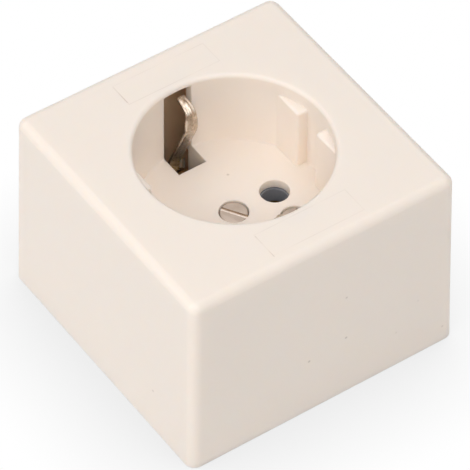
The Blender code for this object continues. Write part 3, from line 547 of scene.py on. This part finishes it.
def recessTool(size):
    # The round recess, without the four guide ribs at its sides.
    radius, floor, fillet = size["recessRadius"], size["recessFloor"], size["floorFillet"]
    rim, above = size["rimRadius"], size["height"] + size["beyond"]
    profile = [(0, floor)] + arc((radius - fillet, floor + fillet), fillet, -90, 0, 6)
    profile += arc((radius + rim, size["height"] - rim), rim, 180, 90, 10)
    profile += [(radius + rim, above), (0, above)]
    tool = turnSolid("recess", [(x * mm, z * mm) for x, z in profile], size["roundSteps"])
    ribs = []
    for sideX in (-1, 1):
        for sideY in (-1, 1):
            xs = sorted((sideX * (radius - size["ribHeight"]), sideX * (size["cupRadius"] + size["beyond"])))
            ys = sorted((sideY * size["ribNotch"], sideY * radius))
            low = (xs[0] * mm, ys[0] * mm, size["floorUnder"] * mm)
            high = (xs[1] * mm, ys[1] * mm, size["ribTop"] * mm)
            ribs.append(roundAllEdges(boxSolid("rib", low, high), size["ribEdge"] * mm, 5))
    return carve(tool, ribs)


def cavityTool(size):
    # The hollow behind the face, less the cup, the screw bosses and the chutes.
    rings = []
    for height in (-size["beyond"], size["height"] - size["faceWall"]):
        half = coverHalf(size, height) - size["wall"]
        rings.append(scaled(roundedSquare(half, size["innerCorner"], size["innerSteps"]), height))
    tool = stackRings("cavity", rings)
    floor = size["recessFloor"] * mm
    above = (size["height"] + size["beyond"]) * mm
    steps = size["roundSteps"]
    kept = [postSolid("cup", size["cupRadius"] * mm, size["floorUnder"] * mm, above, steps=steps)]
    for x, y in size["screwSpots"]:
        spot = (x * mm, y * mm)
        kept.append(postSolid("boss", size["bossRadius"] * mm, size["bossUnder"] * mm, floor, spot))
    for side in (-1, 1):
        ys = sorted((side * size["chuteStart"], side * size["chuteEnd"]))
        half = size["chuteHalf"] * mm
        low = (-half, ys[0] * mm, size["chuteUnder"] * mm)
        kept.append(boxSolid("chute", low, (half, ys[1] * mm, floor)))
    return carve(tool, kept)


def holeTool(name, radius, edge, lower, size, middle):
    # A round hole through the recess floor with a rounded mouth, on top of the given lower profile.
    floor = size["recessFloor"]
    profile = lower + arc((radius + edge, floor - edge), edge, 180, 90, 5)
    profile += [(radius + edge, floor + size["beyond"]), (0, floor + size["beyond"])]
    points = [(x * mm, z * mm) for x, z in profile]
    return turnSolid(name, points, size["holeSteps"], (middle[0] * mm, middle[1] * mm))


def onMouth(size):
    # A test for points on the edge of an earth slot, on the recess floor or on its wall.
    near = 0.01
    wallFrom = size["recessRadius"] - size["floorFillet"] - near

    def test(point):
        x, y, z = (value / mm for value in point)
        inWidth = abs(x) < size["slotHalf"] + near
        inLength = size["slotStart"] - near < abs(y) < size["recessRadius"] + 5 * near
        onFloor = abs(z - size["recessFloor"]) < near
        onWall = math.hypot(x, y) > wallFrom and z > size["recessFloor"] - near
        return inWidth and inLength and (onFloor or onWall) and z < size["slotTop"] + near
    return test


def buildCover(size):
    piece = coverShell(size)
    carve(piece, [cavityTool(size), recessTool(size)])
    tools = []
    under = size["bossUnder"] - size["beyond"]
    for side in (-1, 1):
        spot = (side * size["pinX"], 0)
        lower = [(0, under), (size["pinRadius"], under)]
        tools.append(holeTool("pinHole", size["pinRadius"], size["pinEdge"], lower, size, spot))
        ys = sorted((side * size["slotStart"], side * size["slotEnd"]))
        low = (-size["slotHalf"] * mm, ys[0] * mm, (size["chuteUnder"] - size["beyond"]) * mm)
        tools.append(boxSolid("earthSlot", low, (size["slotHalf"] * mm, ys[1] * mm, size["slotTop"] * mm)))
    for spot in size["screwSpots"]:
        lower = [(0, under), (size["threadRadius"], under),
                 (size["threadRadius"], size["headSeat"]), (size["headRadius"], size["headSeat"])]
        tools.append(holeTool("screwHole", size["headRadius"], size["screwEdge"], lower, size, spot))
    outer = coverHalf(size, size["knockoutHeight"]) - size["knockoutWall"]
    half = size["knockoutHalf"] * mm
    low = (-half, size["knockoutFrom"] * mm, -size["beyond"] * mm)
    tools.append(boxSolid("knockout", low, (half, outer * mm, size["knockoutHeight"] * mm)))
    carve(piece, tools)
    count = softenChosenEdges(piece, size["slotEdge"] * mm, 3, onMouth(size))
    print("cover: softened", count, "edges of the slots")
    return smoothSurface(piece)


# Small dark marks on the cover, as spot, size and strength.
coverSpecks = [
    ((0.00480, -0.03021, 0.02624), 0.00023, 0.28), ((0.02172, -0.03044, 0.01502), 0.00024, 0.10),
    ((0.00484, -0.03044, 0.01515), 0.00024, 0.38), ((0.01668, -0.03056, 0.00921), 0.00024, 0.12),
    ((0.02781, -0.03067, 0.00409), 0.00022, 0.22), ((-0.00371, -0.03047, 0.01382), 0.00025, 0.36),
    ((-0.03053, -0.01754, 0.01054), 0.00024, 0.28), ((0.00460, 0.00860, 0.02615), 0.00024, 0.30),
]

# Joint lines of the two mould inserts on the face, as middle, half size and strength.
# The joint on the -X side of each insert shows more than the others.
coverInserts = [
    ((0.0004, 0.02345, 0.04365), (0.0104, 0.00285, 0.0), 0.22),
    ((0.0005, -0.0236, 0.04365), (0.0103, 0.0031, 0.0), 0.22),
    ((-0.0100, 0.02365, 0.04365), (0.0, 0.0024, 0.0), 0.6),
    ((-0.0098, -0.0239, 0.04365), (0.0, 0.0030, 0.0), 0.85),
]


def coverShadeZone(size, centre):
    # 0 outside, 1 in the hollow, with painted shade, and 2 on the sides of the chutes, below the recess
    # floor, with darker painted shade.
    x, y, z = (value / mm for value in centre)
    slack = 0.15
    inWidth = abs(x) < size["slotHalf"] + slack
    inLength = size["slotStart"] - slack < abs(y) < size["slotEnd"] + slack
    if inWidth and inLength and z < size["recessFloor"] - slack:
        return 2
    innerHalf = size["halfSide"] - size["wall"] + slack
    inHollow = max(abs(x), abs(y)) < innerHalf and z < size["height"] - size["faceWall"] + slack
    behindCup = math.hypot(x, y) > size["cupRadius"] - slack or z < size["floorUnder"] + slack
    return int(inHollow and behindCup)


cream = makeCreamPlastic("creamPlastic", creamPlastic, coverSpecks, coverInserts)
coverPiece = dress(buildCover(cover), cream, "housing", "cover")
# The hollow and the chute sides take browner, darker copies of the cream as painted shade.
coverPiece.data.materials.append(makeCreamPlastic("creamInsidePaintedShade", creamInsidePaintedShade))
coverPiece.data.materials.append(makeCreamPlastic("creamChutePaintedShade", creamChutePaintedShade))
for face in coverPiece.data.polygons:
    face.material_index = coverShadeZone(cover, face.center)
print("cover built:", len(coverPiece.data.polygons), "faces")


# Earth clips

earthClip = {
    "footY": 20.8, "pivotZ": 16.8, "footLow": 14.7, "shoulder": 18.9, "thickness": 0.75,
    "width": 2.8, "footWidth": 5.4, "footBlend": 0.25, "neckWidth": 2.3, "neckStart": 6.2, "neckEnd": 4.4,
    "tipWidth": 1.85, "tipCorner": 0.22, "edge": 0.24,
    "corners": ((20.8, 21.7, 9.0), (15.73, 34.42, 4.0), (15.73, 39.47, 1.9)), "tip": (19.45, 40.3),
    "lean": 0.9, "beadWidth": 1.0, "beadHeight": 0.28, "beadFrom": 34.2,
    "rivetHole": 1.5, "rivetHoleFrom": 18.0, "rivetHoleTo": 24.0, "bendSteps": 18, "gap": 0.4,
}


def roundedRoute(start, corners, end, steps):
    # The line of the strip from the side, as (outwards, height), with an arc at each corner.
    points = [Vector(start)]
    stops = [Vector(start)] + [Vector(corner[:2]) for corner in corners] + [Vector(end)]
    for index, corner in enumerate(corners):
        here = stops[index + 1]
        back = (stops[index] - here).normalized()
        ahead = (stops[index + 2] - here).normalized()
        half = back.angle(ahead) / 2
        middle = here + (back + ahead).normalized() * corner[2] / math.sin(half)
        first = here + back * corner[2] / math.tan(half) - middle
        last = here + ahead * corner[2] / math.tan(half) - middle
        turn = math.atan2(first.cross(last), first.dot(last))
        for step in range(steps + 1):
            points.append(middle + Matrix.Rotation(turn * step / steps, 2) @ first)
    points.append(Vector(end))
    return points


def spreadAlong(points, gap):
    # The same route with a point at least every gap.
    fine = []
    for first, second in zip(points, points[1:]):
        count = max(1, math.ceil((second - first).length / gap))
        fine += [first.lerp(second, step / count) for step in range(count)]
    return fine + [points[-1]]


def easeBetween(low, high, value):
    share = min(1.0, max(0.0, (value - low) / (high - low)))
    return share * share * (3 - 2 * share)


def clipSection(half, thickness, edge, bead, beadWidth):
    # The section of the strip as (across, through), with rounded corners and the bead on the plug's side.
    outline = []
    for start, (x, y) in zip((0, 90, 180, 270), ((1, 1), (-1, 1), (-1, -1), (1, -1))):
        centre = (x * (half - edge), y * (thickness / 2 - edge))
        outline += arc(centre, edge, start, start + 90, 3)
        if start == 0:
            for step in range(1, 12):
                share = 1 - step / 6
                rise = bead * math.cos(min(1.0, abs(share) * 1.35) * math.pi / 2) ** 2
                outline.append((beadWidth * share * 0.74, thickness / 2 + rise))
    return outline


def clipHalfWidth(size, height, toTip):
    # Wide at the foot, an even strip above it, narrower past the top bend, with rounded corners at the tip.
    shoulder, blend = size["shoulder"], size["footBlend"]
    foot = 1 - easeBetween(shoulder - blend, shoulder + blend, height)
    neck = 1 - easeBetween(size["neckEnd"], size["neckStart"], toTip)
    tip = 1 - easeBetween(0.0, size["neckEnd"], toTip)
    width = size["width"] + (size["footWidth"] - size["width"]) * foot
    width -= (size["width"] - size["neckWidth"]) * neck + (size["neckWidth"] - size["tipWidth"]) * tip
    into = max(0.0, 1 - toTip / size["tipCorner"])
    return width / 2 - size["tipCorner"] * (1 - math.sqrt(1 - into * into))


def buildClip(name, size, side):
    route = roundedRoute((size["footY"], size["footLow"]), size["corners"], size["tip"], size["bendSteps"])
    route = spreadAlong(route, size["gap"])
    start, end = route[-2], route[-1]
    route[-1:] = [start.lerp(end, share) for share in (0.3, 0.6, 0.8, 0.92, 1.0)]
    rings = []
    travelled = [0.0]
    for first, second in zip(route, route[1:]):
        travelled.append(travelled[-1] + (second - first).length)
    total = travelled[-1]
    for index, point in enumerate(route):
        before, after = route[max(index - 1, 0)], route[min(index + 1, len(route) - 1)]
        along = (after - before).normalized()
        normal = Vector((-along.y, along.x))
        toTip = total - travelled[index]
        bead = size["beadHeight"] * easeBetween(size["beadFrom"], size["beadFrom"] + 1.5, point.y)
        bead *= easeBetween(0.8, 2.0, toTip)
        climb = (point.y - size["shoulder"]) / (size["corners"][1][1] - size["shoulder"])
        lean = size["lean"] * min(1.0, max(0.0, climb))
        half = clipHalfWidth(size, point.y, toTip)
        ring = []
        for across, through in clipSection(half, size["thickness"], size["edge"], bead, size["beadWidth"]):
            spot = point + normal * through
            ring.append((side * (across + lean) * mm, side * spot.x * mm, spot.y * mm))
        rings.append(ring)
    piece = stackRings(name, rings)
    low, high = size["rivetHoleFrom"] * mm, size["rivetHoleTo"] * mm
    tool = postSolid("rivetHole", size["rivetHole"] * mm, low, high, steps=40)
    turned = Matrix.Rotation(-side * math.pi / 2, 4, "X")
    tool.data.transform(Matrix.Translation((0, 0, size["pivotZ"] * mm)) @ turned)
    carve(piece, [tool])
    return smoothSurface(piece, 50)


nickel = makeMetal("nickelPlate", nickelPlate)
for name, side, body, node in (
        ("clipStripBack", 1, "clip_back", "earth_clip_back"),
        ("clipStripFront", -1, "clip_front", "earth_clip_front")):
    dress(buildClip(name, earthClip, side), nickel, body, node)
print("earth clips built")


# Slotted screws

slottedScrew = {
    "top": 25.85, "headRadius": 2.8, "headHeight": 1.4, "edge": 0.22, "underEdge": 0.1,
    "slotWidth": 0.8, "slotDepth": 0.45, "slotReach": 4.0, "slotEdge": 0.1,
    "shankRadius": 1.5, "pitch": 0.5, "threadDepth": 0.27, "threadTaper": 0.4,
    "pointCut": 0.15, "pointLength": 0.2, "perTurn": 5, "roundSteps": 40,
}


def threadedShank(name, size, low, high):
    # A thread as a stack of rings, tapered out at both ends, with a small cut at the point.
    rings = []
    count = int((high - low) / size["pitch"] * size["perTurn"])
    for index in range(count + 1):
        height = low + (high - low) * index / count
        toEnd = min(height - low, high - height)
        taper = max(0.0, min(1.0, toEnd / size["threadTaper"]))
        cut = size["pointCut"] * (1 - min(1.0, (height - low) / size["pointLength"]))
        ring = []
        for step in range(size["roundSteps"]):
            angle = 2 * math.pi * step / size["roundSteps"]
            phase = (height / size["pitch"] - step / size["roundSteps"]) % 1.0
            wave = abs(2 * phase - 1)
            reach = size["shankRadius"] - size["threadDepth"] * wave * taper - cut
            ring.append((reach * math.cos(angle) * mm, reach * math.sin(angle) * mm, height * mm))
        rings.append(ring)
    return stackRings(name, rings)


def buildScrew(name, size, spot, tip, slotAngle):
    top, radius, edge = size["top"], size["headRadius"], size["edge"]
    under, chamfer = top - size["headHeight"], size["underEdge"]
    profile = [(0, under), (radius - chamfer, under), (radius, under + chamfer)]
    profile += arc((radius - edge, top - edge), edge, 0, 90, 6) + [(0, top)]
    piece = turnSolid(name, [(x * mm, z * mm) for x, z in profile], 72)
    carve(piece, [threadedShank("shank", size, tip, under + 0.2)], "UNION")
    half, reach = size["slotWidth"] / 2 * mm, size["slotReach"] * mm
    slotFloor, near = (top - size["slotDepth"]) * mm, 1e-5
    carve(piece, [boxSolid("slot", (-reach, -half, slotFloor), (reach, half, (top + 1) * mm))])

    def onSlot(point):
        inLine = abs(abs(point.y) - half) < near and point.z > slotFloor + near
        return inLine and math.hypot(point.x, point.y) < radius * mm + near
    softenChosenEdges(piece, size["slotEdge"] * mm, 3, onSlot)
    joinFlatFaces(piece)
    smoothSurface(piece, 40)
    # Material 1 on the sides of the slot is painted shade, material 2 on its floor a painted highlight.
    for face in piece.data.polygons:
        if abs(face.center.y) < half * 1.05 and face.center.z > slotFloor - near:
            onFloor = face.center.z < slotFloor + near
            face.material_index = 2 if onFloor else int(abs(face.normal.z) < 0.3)
    turned = Matrix.Rotation(math.radians(slotAngle), 4, "Z")
    piece.data.transform(Matrix.Translation((spot[0] * mm, spot[1] * mm, 0)) @ turned)
    return piece


# The sides of the slot are painted dark as shade, and its floor takes the brighter nickel as a painted
# highlight.
screwMetal = makeMetal("screwPlate", screwPlate)
slotShadeMetal = makeMetal("slotPaintedShade", slotPaintedShade)
for name, node, spot, slotAngle in (
        ("coverScrew", "cover_screw", (0, 0), -57.5),
        ("fixingScrewLeft", "fixing_screw_left", (-8.8, -7.75), 38.0),
        ("fixingScrewRight", "fixing_screw_right", (8.8, -7.75), 38.0)):
    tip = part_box(node)[0].z / mm
    piece = buildScrew(name, slottedScrew, spot, tip, slotAngle)
    dress(piece, screwMetal, "housing", node)
    piece.data.materials.append(slotShadeMetal)
    # The nickel goes on the slot floor as a painted highlight.
    piece.data.materials.append(nickel)
print("front screws built")


# Finishes of the pieces inside

insideFinishes = (
    (makePlastic("greyPlastic", greyPlastic), ["base_plate"]),
    (makePlastic("blueGreyPlastic", blueGreyPlastic), ["contact_carrier"]),
    (makeMetal("brassSheet", brassSheet), [
        "pin_contact_left", "pin_contact_right", "earth_bar", "screw_bush_left", "screw_bush_right"]),
    (makeMetal("zincPlate", zincPlate), [
        "rivet_back", "rivet_front", "terminal_clamp_left", "terminal_clamp_earth", "terminal_clamp_right",
        "terminal_screw_left", "terminal_screw_earth", "terminal_screw_right"]),
)
for material, names in insideFinishes:
    for name in names:
        nodes[name].data.materials.clear()
        nodes[name].data.materials.append(material)
print("inside finishes given")


# Studio

studio = {
    "floorSize": 3.0, "floorColour": (0.85, 0.85, 0.85, 1),
    "shadeColour": (0.69, 0.69, 0.69, 1), "shadeReach": 0.025,
    "skyLight": 0.205, "lightColour": (1.0, 0.957, 0.943),
    "lamps": {
        "leftLamp": {"from": (-0.80, 0.13, 0.59), "distance": 1.2, "size": 0.8, "level": 0.44},
        "backLamp": {"from": (0.20, 0.30, 0.93), "distance": 1.2, "size": 0.8, "level": 0.20},
        "frontLamp": {"from": (-0.25, -0.60, 0.76), "distance": 1.2, "size": 0.8, "level": 0.415},
        "rightLamp": {"from": (0.85, -0.25, 0.75), "distance": 1.2, "size": 0.8, "level": 0.12},
    },
}


def seenDirectly(tree):
    # 1 for what the camera sees straight, in a shiny surface or through a clear one.
    rays = addNode(tree, "LightPath")
    through = calc(tree, "MAXIMUM", rays.outputs["Is Glossy Ray"], rays.outputs["Is Transmission Ray"])
    return calc(tree, "MAXIMUM", rays.outputs["Is Camera Ray"], through)


def buildFloor(setup):
    # A pale floor that reflects light as usual. The camera sees it white, with soft shade beside the object.
    shape = bmesh.new()
    bmesh.ops.create_grid(shape, x_segments=1, y_segments=1, size=setup["floorSize"])
    floor = linkPiece("studioFloor", shape)
    material = bpy.data.materials.new("paleFloor")
    material.use_nodes = True
    tree = material.node_tree
    tree.nodes.clear()
    out = addNode(tree, "OutputMaterial", 600, 0)
    plain = addNode(tree, "BsdfDiffuse", 0, 200)
    plain.inputs["Color"].default_value = setup["floorColour"]
    closeness = addNode(tree, "AmbientOcclusion", -400, -200, samples=16)
    closeness.inputs["Distance"].default_value = setup["shadeReach"]
    shaded = blendColours(tree, closeness.outputs["AO"], setup["shadeColour"], (1, 1, 1, 1))
    white = addNode(tree, "Emission", 0, -200)
    tree.links.new(shaded, white.inputs["Color"])
    pick = addNode(tree, "MixShader", 400, 0)
    tree.links.new(seenDirectly(tree), pick.inputs[0])
    tree.links.new(plain.outputs[0], pick.inputs[1])
    tree.links.new(white.outputs[0], pick.inputs[2])
    tree.links.new(pick.outputs[0], out.inputs[0])
    floor.data.materials.append(material)


def buildSky(setup):
    world = bpy.data.worlds.new("studioSky")
    bpy.context.scene.world = world
    world.use_nodes = True
    tree = world.node_tree
    tree.nodes.clear()
    out = tree.nodes.new("ShaderNodeOutputWorld")
    light = addNode(tree, "Background")
    light.inputs["Strength"].default_value = setup["skyLight"]
    light.inputs["Color"].default_value = setup["lightColour"] + (1,)
    seen = addNode(tree, "Background")
    seen.inputs["Color"].default_value = (1, 1, 1, 1)
    pick = addNode(tree, "MixShader")
    tree.links.new(seenDirectly(tree), pick.inputs[0])
    tree.links.new(light.outputs[0], pick.inputs[1])
    tree.links.new(seen.outputs[0], pick.inputs[2])
    tree.links.new(pick.outputs[0], out.inputs[0])


def buildLamp(name, setup, colour):
    # Level 1 gives a surface that faces the lamp about the colour written in its material.
    lamp = bpy.data.lights.new(name, "AREA")
    lamp.shape = "SQUARE"
    lamp.size = setup["size"]
    lamp.energy = setup["level"] * (math.pi * setup["distance"]) ** 2
    lamp.color = colour
    item = bpy.data.objects.new(name, lamp)
    bpy.context.scene.collection.objects.link(item)
    towards = Vector(setup["from"]).normalized()
    item.location = towards * setup["distance"]
    item.rotation_mode = "QUATERNION"
    item.rotation_quaternion = (-towards).to_track_quat("-Z", "Y")
    item.visible_camera = False


camera = {
    "target": (-1.024, -1.937, 21.892), "azimuth": -35.1889, "elevation": 47.095, "roll": 0.6306,
    "distance": 887.26, "lens": 355.93,
}


def buildCamera(setup):
    data = bpy.data.cameras.new("photoCamera")
    item = bpy.data.objects.new("photoCamera", data)
    bpy.context.scene.collection.objects.link(item)
    data.sensor_width = 36.0
    data.lens = setup["lens"]
    data.clip_start, data.clip_end = 0.05, 20.0
    turn, rise = math.radians(setup["azimuth"]), math.radians(setup["elevation"])
    back = Vector((math.sin(turn) * math.cos(rise), -math.cos(turn) * math.cos(rise), math.sin(rise)))
    facing = (-back).to_track_quat("-Z", "Y").to_matrix().to_4x4()
    place = Matrix.Translation(Vector(setup["target"]) * mm + back * setup["distance"] * mm)
    item.matrix_world = place @ facing @ Matrix.Rotation(math.radians(setup["roll"]), 4, "Z")
    bpy.context.scene.camera = item


buildFloor(studio)
buildSky(studio)
for name, setup in studio["lamps"].items():
    buildLamp(name, setup, studio["lightColour"])
buildCamera(camera)
bpy.context.scene.view_settings.view_transform = "Standard"
bpy.context.scene.cycles.diffuse_bounces = 12
print("studio and camera built")
